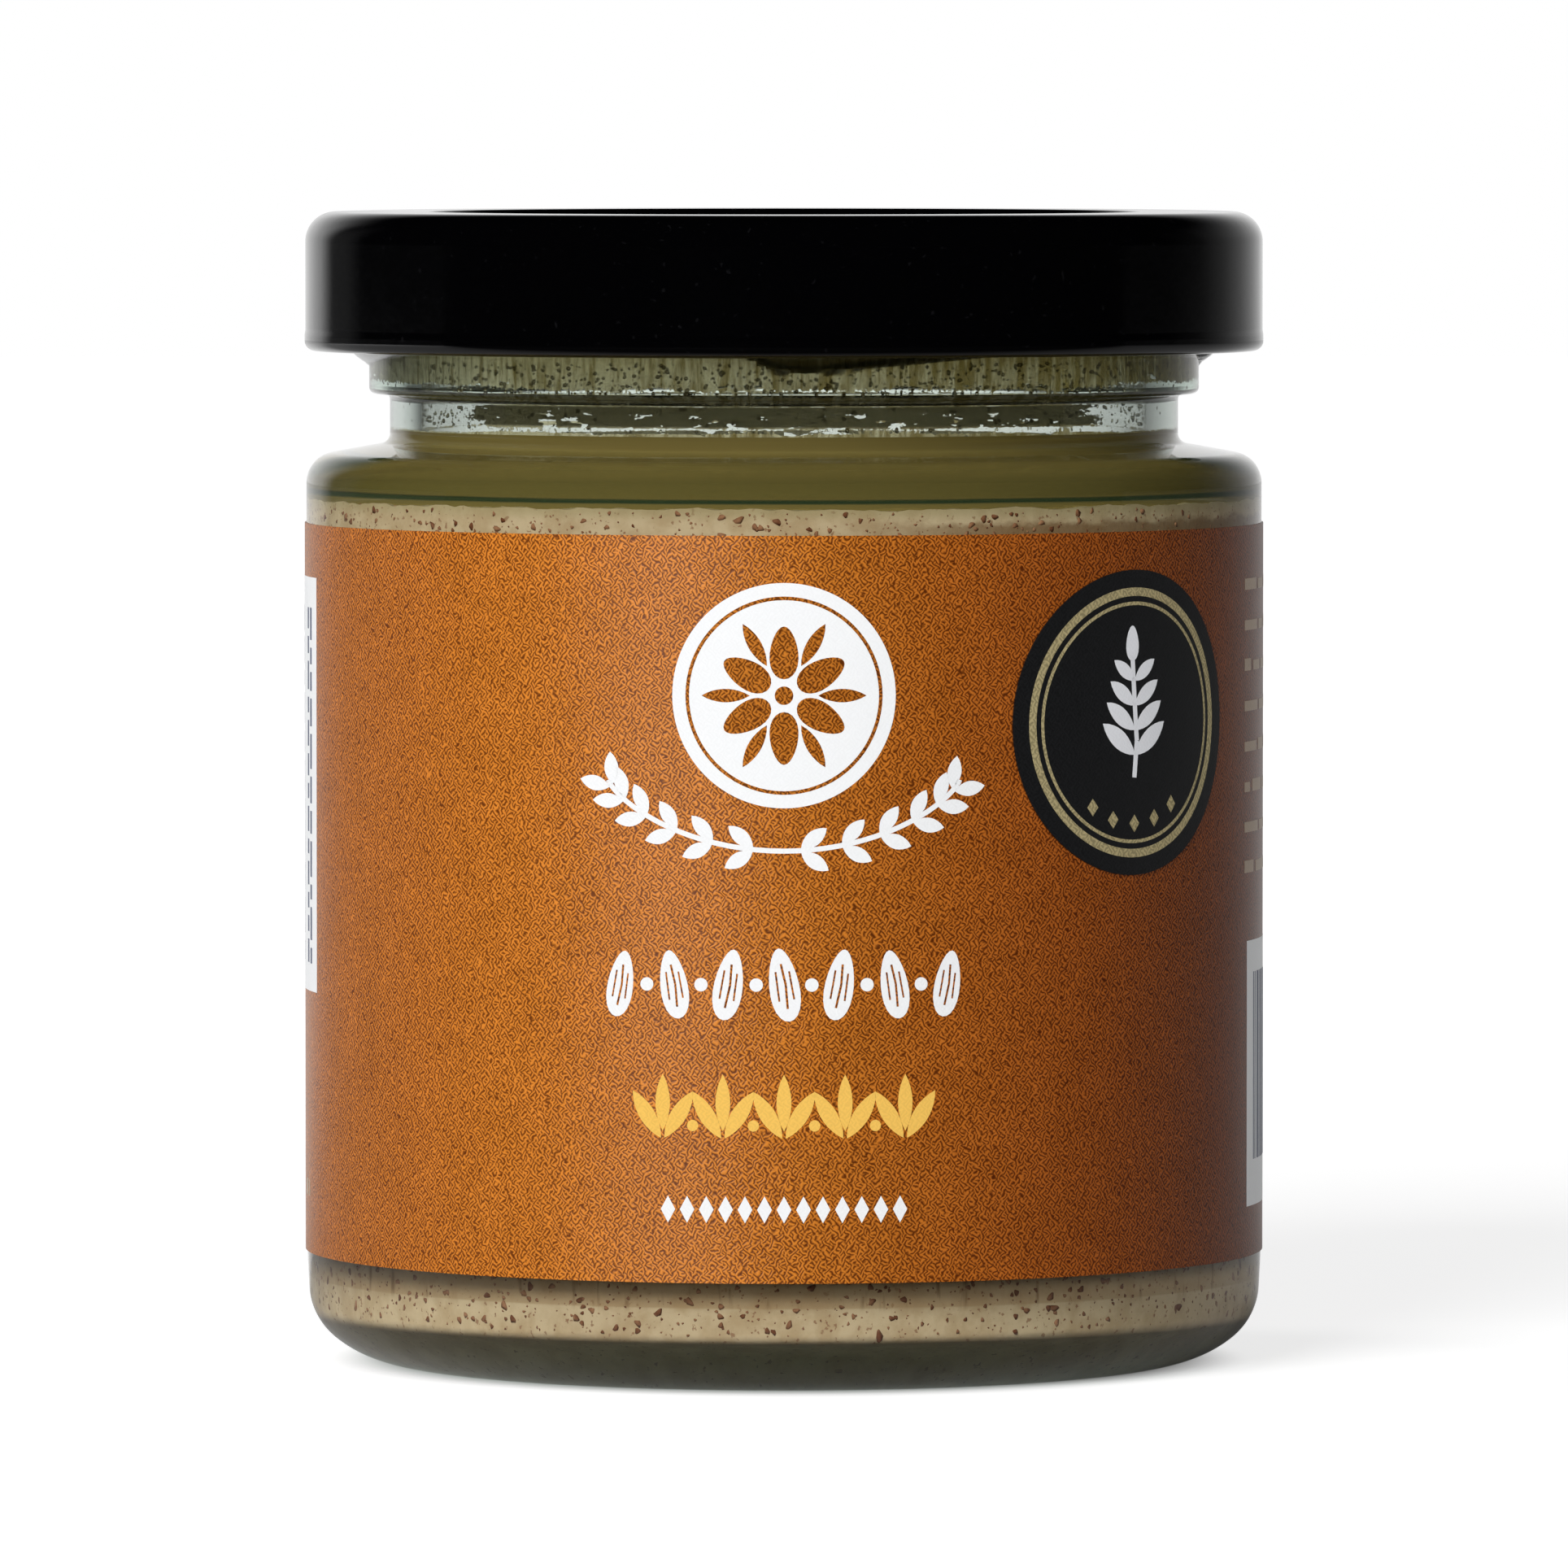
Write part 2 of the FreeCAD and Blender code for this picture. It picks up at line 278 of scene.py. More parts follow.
def closeShell(obj):
    shell = bmesh.new()
    shell.from_mesh(obj.data)
    bmesh.ops.remove_doubles(shell, verts=shell.verts, dist=meshing["weld"])
    edges = [e for e in shell.edges if e.is_boundary]
    if edges:
        bmesh.ops.holes_fill(shell, edges=edges)
    bmesh.ops.recalc_face_normals(shell, faces=shell.faces)
    for face in shell.faces:
        face.smooth = True
    for edge in shell.edges:
        edge.smooth = edge.calc_face_angle(0) < math.radians(meshing["sharp"])
    shell.to_mesh(obj.data)
    shell.free()


def turned(name, points, material, columns=256, start=0.0, sweep=math.tau, **ridge):
    chain = bpy.data.meshes.new(name + "Profile")
    runs = [(i, i + 1) for i in range(len(points) - 1)]
    chain.from_pydata([(p.x * mm, 0, p.y * mm) for p in points], runs, [])
    obj = addObject(name, chain)
    values = {"Columns": columns, "Start": start, "Sweep": sweep, "Material": material, **ridge}
    runNodes(obj, latheNodes, name, **values)
    closeShell(obj)
    return obj


# Flat shapes, across and up

def placed(points, across, up, lean):
    c, s = math.cos(lean), math.sin(lean)
    return [(across + x * c - y * s, up + x * s + y * c) for x, y in points]


def oval(across, up, width, height, point=0.0, lean=0.0, steps=24):
    # Drawn out to a point at its top as a kernel is
    loop = []
    for step in range(steps):
        t = math.tau * step / steps
        loop.append((width / 2 * math.sin(t) * (1 - point * math.cos(t)), height / 2 * math.cos(t)))
    return placed(loop, across, up, lean)


def leaf(across, up, length, width, lean, steps=9):
    # Pointed at both ends, from its stalk outwards
    side = []
    for step in range(steps + 1):
        t = step / steps
        side.append((length * t, width / 2 * math.sin(math.pi * t) ** 0.8 if 0 < t < 1 else 0.0))
    return placed(side + [(x, -y) for x, y in reversed(side[1:-1])], across, up, lean)


def strip(points, width):
    # A line of even width as a row of small faces
    faces = []
    for (x0, y0), (x1, y1) in zip(points, points[1:]):
        along = Vector((x1 - x0, y1 - y0)).normalized() * width / 2
        faces.append([(x0 + along.y, y0 - along.x), (x1 + along.y, y1 - along.x),
                      (x1 - along.y, y1 + along.x), (x0 - along.y, y0 + along.x)])
    return faces


def ringFaces(across, up, outer, inner, steps=72):
    faces = []
    for step in range(steps):
        a, b = (math.tau * n / steps for n in (step, step + 1))
        faces.append([(across + r * math.cos(t), up + r * math.sin(t))
                      for r, t in ((inner, a), (outer, a), (outer, b), (inner, b))])
    return faces


def bar(across, up, width, height):
    return [(across, up), (across + width, up), (across + width, up + height), (across, up + height)]


def flatMesh(name, faces):
    flat = bmesh.new()
    for corners in faces:
        flat.faces.new([flat.verts.new((x, y, 0)) for x, y in corners])
    bmesh.ops.remove_doubles(flat, verts=flat.verts, dist=1e-4)
    return plainMesh(name, flat)


def wrapped(name, faces, material, radius, film, turn=0.0, width=0.8):
    # Flat faces or a flat mesh, in millimetres, become a thin film around the jar; across 0 is the front
    flat = bmesh.new()
    flat.from_mesh(faces if isinstance(faces, bpy.types.Mesh) else flatMesh(name, faces))
    low, high = min(v.co.x for v in flat.verts), max(v.co.x for v in flat.verts)
    cut = math.floor(low) + 0.1
    while cut < high:                     # narrow enough strips to lie round the wall
        bmesh.ops.bisect_plane(flat, geom=flat.verts[:] + flat.edges[:] + flat.faces[:], dist=1e-5,
                               plane_co=(cut, 0, 0), plane_no=(1, 0, 0))
        cut += width
    flat.verts.index_update()
    for face in flat.faces:
        face.normal_update()
        if face.normal.z < 0:
            face.normal_flip()
    count = len(flat.verts)
    points = []
    for lift in (0.0, film):
        for vert in flat.verts:
            angle, reach = vert.co.x / radius - math.pi / 2 + math.radians(turn), (radius + lift) * mm
            points.append((reach * math.cos(angle), reach * math.sin(angle), vert.co.y * mm))
    shell = []
    for face in flat.faces:
        ring = [vert.index for vert in face.verts]
        shell += [[index + count for index in ring], ring[::-1]]
    for edge in flat.edges:
        if edge.is_boundary:
            loop = edge.link_loops[0]
            a, b = loop.vert.index, loop.link_loop_next.vert.index
            shell.append([a, b, b + count, a + count])
    flat.free()
    mesh = bpy.data.meshes.new(name)
    mesh.from_pydata(points, [], shell)
    mesh.materials.append(material)
    obj = addObject(name, mesh)
    closeShell(obj)
    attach(obj, "root")
    return obj


# Materials

def newMaterial(name):
    material = bpy.data.materials.new(name)
    material.use_nodes = True
    tree = material.node_tree
    return material, tree, tree.nodes["Principled BSDF"]


def setShader(shader, **values):
    names = {
        "color": "Base Color", "roughness": "Roughness", "ior": "IOR", "transmission": "Transmission Weight",
        "metallic": "Metallic", "specular": "Specular IOR Level", "alpha": "Alpha", "glow": "Emission Color",
        "glowStrength": "Emission Strength"}
    for key, value in values.items():
        feed(shader.inputs[names[key]], value)


def bumped(shader, height, strength, distance):
    bump = addNode("ShaderNodeBump", {"Strength": strength, "Distance": distance, "Height": height})
    link(bump[0], shader.inputs["Normal"])


def addAbsorption(tree, color, density):
    volume = addNode("ShaderNodeVolumeAbsorption", {"Color": color, "Density": density}, tree)
    link(volume[0], tree.nodes["Material Output"].inputs["Volume"])


def letLampsThrough(tree, shader, color):
    # Lamps reach what the glass shuts in
    clear = addNode("ShaderNodeBsdfTransparent", {"Color": color}, tree)[0]
    shadow = addNode("ShaderNodeLightPath", tree=tree)["Is Shadow Ray"]
    mix = addNode("ShaderNodeMixShader", {0: shadow, 1: shader.outputs[0], 2: clear})
    link(mix[0], tree.nodes["Material Output"].inputs["Surface"])


def mixed(share, first, second):
    # Colours or sockets, first where the share is 0
    inputs = {"Factor": share, "A": first, "B": second}
    return addNode("ShaderNodeMix", inputs, data_type="RGBA")["Result"]


def colorScaled(color, factors):
    return addNode("ShaderNodeVectorMath", {0: color, 1: factors}, operation="MULTIPLY")[0]


def objectPlace(tree):
    return addNode("ShaderNodeTexCoord", tree=tree)["Object"]


def noiseNode(place, scale, detail=2.0, roughness=0.5):
    inputs = {"Vector": place, "Scale": scale, "Detail": detail, "Roughness": roughness}
    return addNode("ShaderNodeTexNoise", inputs)["Fac"]


def wallNoise(wall, across, up, detail=2.0, roughness=0.5):
    # Patches on the unrolled wall, so many to a metre across and up
    place = addNode("ShaderNodeMapping", {"Vector": wall["Flat"], "Scale": (across, up, 1)})
    return noiseNode(place[0], 1.0, detail, roughness)


def byHeight(up, start, end, low=0.0, high=1.0):
    # A fade between two heights in millimetres
    return fade(up, start * mm, end * mm, low, high)


def turnRamp(turn, stops, interpolation="LINEAR"):
    # Colours all round: (degrees, colour), where a turn of 0.5 is at 0 degrees
    color = addNode("ShaderNodeValToRGB", {0: turn})[0]
    ramp = color.node.color_ramp
    ramp.interpolation = interpolation
    for index, (degrees, tint) in enumerate(stops):
        spot = degrees / 360 + 0.5
        element = ramp.elements[index] if index < 2 else ramp.elements.new(spot)
        element.position = spot
        element.color = (*tint, 1)
    return color


wallRadius = 0.0346


def roundWallTree():
    # Unrolls the jar's wall: metres along it from the front, height, and turns from the front, right positive
    outputs = {"Along": "Float", "Up": "Float", "Turn": "Float", "Flat": "Vector"}
    tree, _, result = newTree("unrolledWall", {}, outputs)
    x, y, up = split(objectPlace(tree))
    angle = mathNode("ARCTAN2", x, times(y, -1.0))
    along = times(angle, wallRadius)
    for name, value in zip(outputs, (along, up, over(angle, math.tau), joined(along, up))):
        link(value, result[name])
    return tree


threads = {
    "period": 0.00027, "slants": ((0.72, 0.72), (0.8, -0.62)), "waver": 2.2, "waverNoise": (0.45, 1.0),
    "patches": (0.75, 1.0), "patchEdge": (0.42, 0.58)}


def paperGrainTree():
    # Short threads that cross on the slant, as linen-embossed paper has
    tree, given, result = newTree("linenGrain", {
        "Along": 0.0, "Up": 0.0, "Period": threads["period"]}, {"Grain": "Float"})
    u, v = over(given["Along"], given["Period"]), over(given["Up"], given["Period"])
    flat = joined(u, v)
    waver = times(noiseNode(flat, *threads["waverNoise"]), threads["waver"])
    waves = []
    for across, up in threads["slants"]:
        phase = times(plus(plus(times(u, across), times(v, up)), waver), math.tau)
        waves.append(mathNode("SINE", phase))
    pick = fade(noiseNode(flat, *threads["patches"]), *threads["patchEdge"])
    blend = addNode("ShaderNodeMix", {"Factor": pick, "A": waves[0], "B": waves[1]})[0]
    link(timesPlus(blend, 0.5, 0.5), result["Grain"])
    return tree


wallNodes, grainNodes = roundWallTree(), paperGrainTree()


def wallInfo(tree):
    return addNode("ShaderNodeGroup", tree=tree, node_tree=wallNodes)


def grainOn(wall, period=threads["period"]):
    inputs = {"Period": period, "Along": wall["Along"], "Up": wall["Up"]}
    return addNode("ShaderNodeGroup", inputs, node_tree=grainNodes)["Grain"]


glassLook = {
    "tint": (0.985, 1.0, 0.99), "absorb": (0.50, 0.82, 0.62), "density": 44.0, "ior": 1.52,
    "shadow": (0.96, 0.96, 0.96)}


def glassMaterial():
    material, tree, shader = newMaterial("clearGlass")
    setShader(shader, color=glassLook["tint"], roughness=0.0, ior=glassLook["ior"], transmission=1.0)
    addAbsorption(tree, glassLook["absorb"], glassLook["density"])
    letLampsThrough(tree, shader, glassLook["shadow"])
    return material


# The dark line under the shoulder is painted shade, for the darkening where the thick glass of the shoulder
# begins. It has a height, a sway and half a thickness, to which the sides add
oilLook = {
    "body": (0.31, 0.225, 0.07), "absorb": (0.44, 0.29, 0.04), "density": 46.0, "ior": 1.47,
    "transmission": 0.5, "line": (0.035, 0.07, 0.035), "paintedShadeUp": 62.83, "paintedShadeSway": 0.1, "paintedShadeHalf": 0.16,
    "paintedShadeSide": 0.06, "paintedShadeEdge": (0.4, 1.3, 0.95, 0.0)}


def oilMaterial():
    material, tree, shader = newMaterial("almondOil")
    wall = wallInfo(tree)
    # Painted shade: a dark green band in the oil's colour along the shoulder, thicker at the sides
    middle = timesPlus(wallNoise(wall, 90, 0), oilLook["paintedShadeSway"] * mm, oilLook["paintedShadeUp"] * mm)
    side = positive(mathNode("SINE", times(wall["Turn"], math.tau)))
    thick = timesPlus(mathNode("POWER", side, 3.0), oilLook["paintedShadeSide"] * mm, oilLook["paintedShadeHalf"] * mm)
    line = fade(over(positive(minus(wall["Up"], middle)), thick), *oilLook["paintedShadeEdge"])
    setShader(shader, color=mixed(line, oilLook["body"], oilLook["line"]), roughness=0.0, ior=oilLook["ior"],
              transmission=oilLook["transmission"])
    addAbsorption(tree, oilLook["absorb"], oilLook["density"])
    letLampsThrough(tree, shader, (1, 1, 1))
    return material


# Noises are scales, detail and roughness. Edges, heights and turns are where a fade starts and ends, and then
# how strong it is there.
pasteLook = {
    "pale": (0.62, 0.46, 0.29), "deep": (0.50, 0.345, 0.20), "cloud": (420.0, 4.0, 0.6),
    "cloudEdge": (0.36, 0.66), "speck": (0.27, 0.12, 0.06), "specks": 2600.0,
    "speckEdge": (0.64, 0.70, 0.0, 0.75), "smearAndShade": (0.19, 0.09, 0.035), "smears": (900, 130, 3.0, 0.55),
    "smearEdge": (0.56, 0.68, 0.0, 0.75), "smearFrom": (5.8, 6.8), "smearTo": (8.8, 9.2, 1.0, 0.0),
    "shade": (0.40, 0.24, 0.115), "shadeFrom": (6.15, 6.3, 0.0, 0.55), "darkTop": (0.36, 0.28, 0.14),
    "darkTopFrom": (61.3, 62.4, 0.0, 0.65), "ragged": (500, 900, 3.0, 0.6), "raggedBy": 1.4,
    "rightShadeFrom": (58.0, 60.0, 0.0, 0.75), "rightShadeTo": (61.7, 62.3, 1.0, 0.0), "rightShadeTurn": (0.0, 0.085),
    "roughness": 0.42, "bumps": 1500.0}


def pasteMaterial():
    material, tree, shader = newMaterial("almondPaste")
    look = pasteLook
    wall, place = wallInfo(tree), objectPlace(tree)
    up = wall["Up"]
    cloudy = fade(noiseNode(place, *look["cloud"]), *look["cloudEdge"])
    color = mixed(cloudy, look["pale"], look["deep"])
    fine = fade(noiseNode(place, look["specks"]), *look["speckEdge"])     # ground skin
    color = mixed(fine, color, look["speck"])
    low = byHeight(up, *look["smearTo"])             # oil smears and painted shade under the label
    # Partly painted shade, where the label's shadow falls on the paste below its edge, and partly an oily tint
    color = mixed(times(byHeight(up, *look["shadeFrom"]), low), color, look["shade"])
    streaky = fade(wallNoise(wall, *look["smears"]), *look["smearEdge"])
    streaky = times(streaky, times(byHeight(up, *look["smearFrom"]), low))
    color = mixed(streaky, color, look["smearAndShade"])
    # Darker towards the top, under the oil
    color = mixed(byHeight(up, *look["darkTopFrom"]), color, look["darkTop"])
    ragged = timesPlus(wallNoise(wall, *look["ragged"]), look["raggedBy"] * mm, up)     # painted shade on the right side near the top, with a ragged upper edge
    # Painted shade: the paste above the label made darker on its right side, in the same brown as the real smears
    rightShade = times(byHeight(ragged, *look["rightShadeTo"]), byHeight(up, *look["rightShadeFrom"]))
    rightShade = times(rightShade, fade(wall["Turn"], *look["rightShadeTurn"]))
    setShader(shader, color=mixed(rightShade, color, look["smearAndShade"]), roughness=look["roughness"])
    bumped(shader, noiseNode(place, look["bumps"], 3.0), 0.5, 0.0001)
    return material


skinLook = {
    "dark": (0.16, 0.055, 0.026), "light": (0.36, 0.17, 0.09), "patches": 900.0, "patchEdge": (0.35, 0.65),
    "roughness": 0.5}


def skinMaterial():
    material, tree, shader = newMaterial("almondSkin")
    tone = fade(noiseNode(objectPlace(tree), skinLook["patches"]), *skinLook["patchEdge"])
    setShader(shader, color=mixed(tone, skinLook["dark"], skinLook["light"]), roughness=skinLook["roughness"])
    return material


# The noises are streaks, broad, fine and drawn-out patches. The last two lines say how much is covered
smearLook = {
    "low": 67.3, "high": 75.0, "back": 26.23, "front": 26.15, "rows": 0.5, "thin": (0.98, 0.89, 0.60),
    "thick": (0.42, 0.32, 0.11), "neck": (0.13, 0.115, 0.06), "roughness": 0.25, "ior": 1.3,
    "transmission": 0.8, "noises": ((1500, 260, 3.0, 0.6), (160, 420), (3200, 2800), (330, 1500, 3.0, 0.6)),
    "toneEdge": (0.32, 0.68), "toneAside": 0.12, "neckFrom": (67.8, 68.1), "neckTo": (69.3, 69.7, 1.0, 0.0),
    "footTo": (67.3, 67.6, 1.0, 0.0), "beadFrom": (70.3, 71.3), "endsFrom": (0.72, 0.88, 1.0, 0.0),
    "drawnEdge": (0.54, 0.62, 0.0, 0.5), "drawnFrom": (68.5, 69.3, 1.0, 0.4),
    "drawnTo": (71.2, 71.7, 1.0, 0.0), "behind": (0.25, 0.27, 0.0, 0.16), "fine": 0.45, "broad": 0.55,
    "whole": 0.40, "middle": 0.18, "less": 0.26, "alpha": (0.45, 0.53, 0.06, 0.95)}


def smearMaterial():
    # Oil and paste wiped up inside: streaked, darker in the neck, broken up where the bead begins
    material, tree, shader = newMaterial("oilSmear")
    look = smearLook
    wall = wallInfo(tree)
    up = wall["Up"]
    streaks, broad, fine, drawn = (wallNoise(wall, *scales) for scales in look["noises"])
    across = mathNode("SINE", times(wall["Turn"], math.tau))
    tone = fade(timesPlus(across, look["toneAside"], streaks), *look["toneEdge"])
    neck = times(byHeight(up, *look["neckFrom"]), byHeight(up, *look["neckTo"]))
    color = mixed(tone, look["thin"], look["thick"])
    ends = fade(positive(across), *look["endsFrom"])
    bead, foot = byHeight(up, *look["beadFrom"]), byHeight(up, *look["footTo"])
    whole = largest(largest(bead, times(neck, ends)), foot)
    near = times(byHeight(up, *look["drawnFrom"]), byHeight(up, *look["drawnTo"]))
    behind = fade(positive(wall["Turn"]), *look["behind"])
    torn = plus(behind, times(fade(drawn, *look["drawnEdge"]), near))
    rest = minus(minus(times(ends, look["middle"]), look["less"]), torn)
    cover = plus(times(fine, look["fine"]), times(broad, look["broad"]))
    cover = plus(cover, timesPlus(whole, look["whole"], rest))
    setShader(shader, color=mixed(neck, color, look["neck"]), alpha=fade(cover, *look["alpha"]),
              roughness=look["roughness"], ior=look["ior"], transmission=look["transmission"])
    bumped(shader, streaks, 0.6, 0.0001)
    return material


beadLook = {"tint": (0.93, 0.90, 0.72), "ior": 1.47, "shadow": (0.9, 0.88, 0.8)}


def beadMaterial():
    material, tree, shader = newMaterial("oilBeads")
    setShader(shader, color=beadLook["tint"], roughness=0.0, ior=beadLook["ior"], transmission=1.0)
    letLampsThrough(tree, shader, beadLook["shadow"])
    return material


lacquerLook = {
    "black": (0.0006, 0.0006, 0.0008), "dust": (0.004, 0.004, 0.0045), "dusty": (2200.0, 1.0),
    "dustEdge": (0.70, 0.76), "worn": (60.0, 3.0), "roughness": (0.3, 0.7, 0.085, 0.125), "peel": (500.0, 2.0)}


def lacquerMaterial():
    material, tree, shader = newMaterial("blackLacquer")
    place = objectPlace(tree)
    dust = fade(noiseNode(place, *lacquerLook["dusty"]), *lacquerLook["dustEdge"])
    rough = fade(noiseNode(place, *lacquerLook["worn"]), *lacquerLook["roughness"])
    setShader(shader, color=mixed(dust, lacquerLook["black"], lacquerLook["dust"]), roughness=rough)
    bumped(shader, noiseNode(place, *lacquerLook["peel"]), 0.05, 0.0001)
    return material


# Printed ground of the label: degrees from the front, right positive, and the ink there. It darkens towards the
# right, partly as printed and partly as painted shade on the side away from the key lamp
labelLook = {
    "groundAndShade": [(-180, (0.28, 0.085, 0.009)), (-80, (0.295, 0.090, 0.011)), (-52, (0.285, 0.082, 0.007)),
        (-41, (0.315, 0.095, 0.008)), (-28, (0.35, 0.108, 0.009)), (-10, (0.345, 0.108, 0.009)),
        (2, (0.31, 0.094, 0.007)), (10, (0.265, 0.077, 0.006)), (20, (0.245, 0.065, 0.005)),
        (33, (0.205, 0.049, 0.004)), (45, (0.17, 0.040, 0.004)), (60, (0.145, 0.035, 0.005)),
        (85, (0.125, 0.030, 0.005)), (110, (0.15, 0.038, 0.006)), (180, (0.25, 0.075, 0.008))],
    "dark": (0.30, 0.20, 0.08), "light": (1.70, 1.82, 2.3), "clouds": (300.0, 3.0), "cloudEdge": (0.3, 0.7),
    "cloudDark": (0.955, 0.95, 0.9), "cloudLight": (1.045, 1.05, 1.1), "roughness": 0.33, "specular": 0.3}


def labelMaterial():
    material, tree, shader = newMaterial("labelPaper")
    wall = wallInfo(tree)
    # The ground colour carries painted shade on the right side as well as the print
    groundAndShade = turnRamp(plus(wall["Turn"], 0.5), labelLook["groundAndShade"], "B_SPLINE")
    grain = grainOn(wall)
    color = mixed(grain, colorScaled(groundAndShade, labelLook["dark"]), colorScaled(groundAndShade, labelLook["light"]))
    cloud = fade(noiseNode(wall["Flat"], *labelLook["clouds"]), *labelLook["cloudEdge"])
    dark, light = (colorScaled(color, labelLook[key]) for key in ("cloudDark", "cloudLight"))
    color = mixed(cloud, dark, light)
    setShader(shader, color=color, roughness=labelLook["roughness"], specular=labelLook["specular"])
    bumped(shader, grain, 0.25, 0.00004)
    return material


def inkMaterial(name, color, roughness=0.42, metallic=0.0, grain=0.06, period=threads["period"]):
    material, tree, shader = newMaterial(name)
    weave = grainOn(wallInfo(tree), period)
    low, high = (tuple(c * k for c in color) for k in (1 - grain, 1 + grain))
    setShader(shader, color=mixed(weave, low, high), roughness=roughness, metallic=metallic)
    bumped(shader, weave, 0.15, 0.00003)
    return material


# Glass jar: corners are (across, up, rounding)

jar = {
    "outside": [(0, 2.0, 0), (21.5, 2.0, 3.0), (24.8, 0, 0.5), (30.3, 0, 8.2), (34.25, 3.15, 4.8),
                (34.5, 7.8, 30), (34.5, 65.3, 2.2), (28.46, 66.4, 0.8), (28.46, 69.9, 0.45), (29.96, 69.9, 0.45)],
    "rim": [(29.96, 82.2, 0.9), (26.2, 82.2, 0.9)],
    "cavity": [(26.2, 63.9, 1.6), (32.2, 62.8, 2.2), (32.2, 4.0, 0.5), (0, 4.0, 0)],
    "columns": 288, "finish": 29.96, "ridges": (71.0, 76.0), "fineRows": 0.1, "rows": 0.3}
ridgeAngles = {"Ridge Turn": -4.4, "Ridge Arc": 60.4}      # degrees
ridgeSizes = {
    "Ridge Low": 71.6, "Ridge Lead": 16.1, "Ridge Height": 3.7, "Ridge Depth": 1.64, "Ridge Inner": 29.9}


def makeJar():
    outline = roundedRun(jar["outside"] + jar["rim"] + jar["cavity"], arcStep=0.3, longest=2.0)
    points, (low, high) = [], jar["ridges"]
    for before, after in zip(outline, outline[1:]):   # the finish is cut finely enough to carry the ridges
        points.append(before)
        if max(abs(before.x - jar["finish"]), abs(after.x - jar["finish"])) < 0.01:
            rows = jar["fineRows"] if low < before.y < high else jar["rows"]
            parts = math.ceil((after - before).length / rows)
            points += [before.lerp(after, n / parts) for n in range(1, parts)]
    ridges = {name: math.radians(angle) for name, angle in ridgeAngles.items()}
    ridges.update((name, size * mm) for name, size in ridgeSizes.items())
    return turned("jarGlass", points + [outline[-1]], glassMaterial(), jar["columns"], **ridges)


jarGlass = makeJar()
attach(jarGlass, "root")
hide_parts("glass_jar")


# Paste and oil: both bite a little into the glass, so no gap shows between them

filling = {
    "bite": 0.04, "wall": 32.2, "floor": 4.0, "pasteTop": 62.2, "lumpsFrom": 60.8, "lumpsFull": 62.0,
    "lumps": 0.22, "rise": 0.15, "lumpScales": (400, 1100), "smallLumps": 0.6, "topRings": 44, "bore": 26.2,
    "oilTop": 67.3, "oilBottom": 61.4, "shoulder": (63.9, 62.8), "columns": 256}


def makePaste():
    bite, top, lumpsFrom = filling["bite"], filling["pasteTop"], filling["lumpsFrom"]
    wall, low, rings = filling["wall"] + 2 * bite, filling["floor"] - bite, filling["topRings"]
    cap = [Vector((wall * step / rings, top)) for step in range(rings)]
    side = roundedRun([(wall, top, 0), (wall, lumpsFrom, 0), (wall, low, 0.5), (0, low, 0)], longest=1.5)
    paste = turned("nutPaste", cap + side, pasteMaterial(), 2 * filling["columns"])
    broad, small = filling["lumpScales"]
    for vert in paste.data.vertices:      # the top has settled unevenly under its oil
        share = min(1.0, max(0.0, (vert.co.z / mm - lumpsFrom) / (filling["lumpsFull"] - lumpsFrom)))
        spot = Vector((vert.co.x, vert.co.y, 0.062))
        lump = noise.noise(spot * broad) + filling["smallLumps"] * noise.noise(spot * small)
        vert.co.z += share * (lump * filling["lumps"] + filling["rise"]) * mm
    return paste


def makeOil():
    bite, low, top = filling["bite"], filling["oilBottom"], filling["oilTop"]
    wall, bore, (inner, outer) = filling["wall"] + bite, filling["bore"] + bite, filling["shoulder"]
    corners = [(0, top, 0), (bore, top, 0), (bore, inner + bite, 1.6), (wall, outer + bite, 2.2),
               (wall, low, 0), (0, low, 0)]
    return turned("almondOil", roundedRun(corners, arcStep=0.2, longest=2.0), oilMaterial(), filling["columns"])


nutPaste = makePaste()
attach(nutPaste, "root")
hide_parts("almond_butter")

almondOil = makeOil()
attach(almondOil, "root")
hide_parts("oil_layer")


def bandMesh(name, bands):
    # Rings of a surface to scatter on: (reach, up) to (reach, up), its share of the density, start and sweep
    points, faces, shares = [], [], []
    for reachA, upA, reachB, upB, share, *part in bands:
        start, sweep = part or (0.0, math.tau)
        steps = max(4, round(sweep / math.tau * 96))
        for step in range(steps):
            first = len(points)
            for reach, up, turn in ((reachA, upA, step), (reachA, upA, step + 1), (reachB, upB, step + 1),
                                    (reachB, upB, step)):
                angle = start + sweep * turn / steps
                points.append((reach * math.cos(angle) * mm, reach * math.sin(angle) * mm, up * mm))
            faces.append((first, first + 1, first + 2, first + 3))
            shares += [share] * 4
    mesh = bpy.data.meshes.new(name)
    mesh.from_pydata(points, [], faces)
    mesh.attributes.new("share", "FLOAT", "POINT").data.foreach_set("value", shares)
    return mesh


def lumpShape(name, jitter, seed):
    # A small rough or smooth lump, one unit in radius
    shape = bmesh.new()
    bmesh.ops.create_icosphere(shape, subdivisions=1, radius=1.0)
    chance = random.Random(seed)
    for vert in shape.verts:
        vert.co *= 1 + chance.uniform(-jitter, jitter)
    for face in shape.faces:
        face.smooth = True
    return addObject(name, plainMesh(name, shape))


def scattered(name, bands, shape, values, material):
    obj = addObject(name, bandMesh(name + "Bands", bands))
    runNodes(obj, scatterNodes, name, Shape=shape, Material=material, **values)
    bpy.data.objects.remove(shape)
    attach(obj, "root")


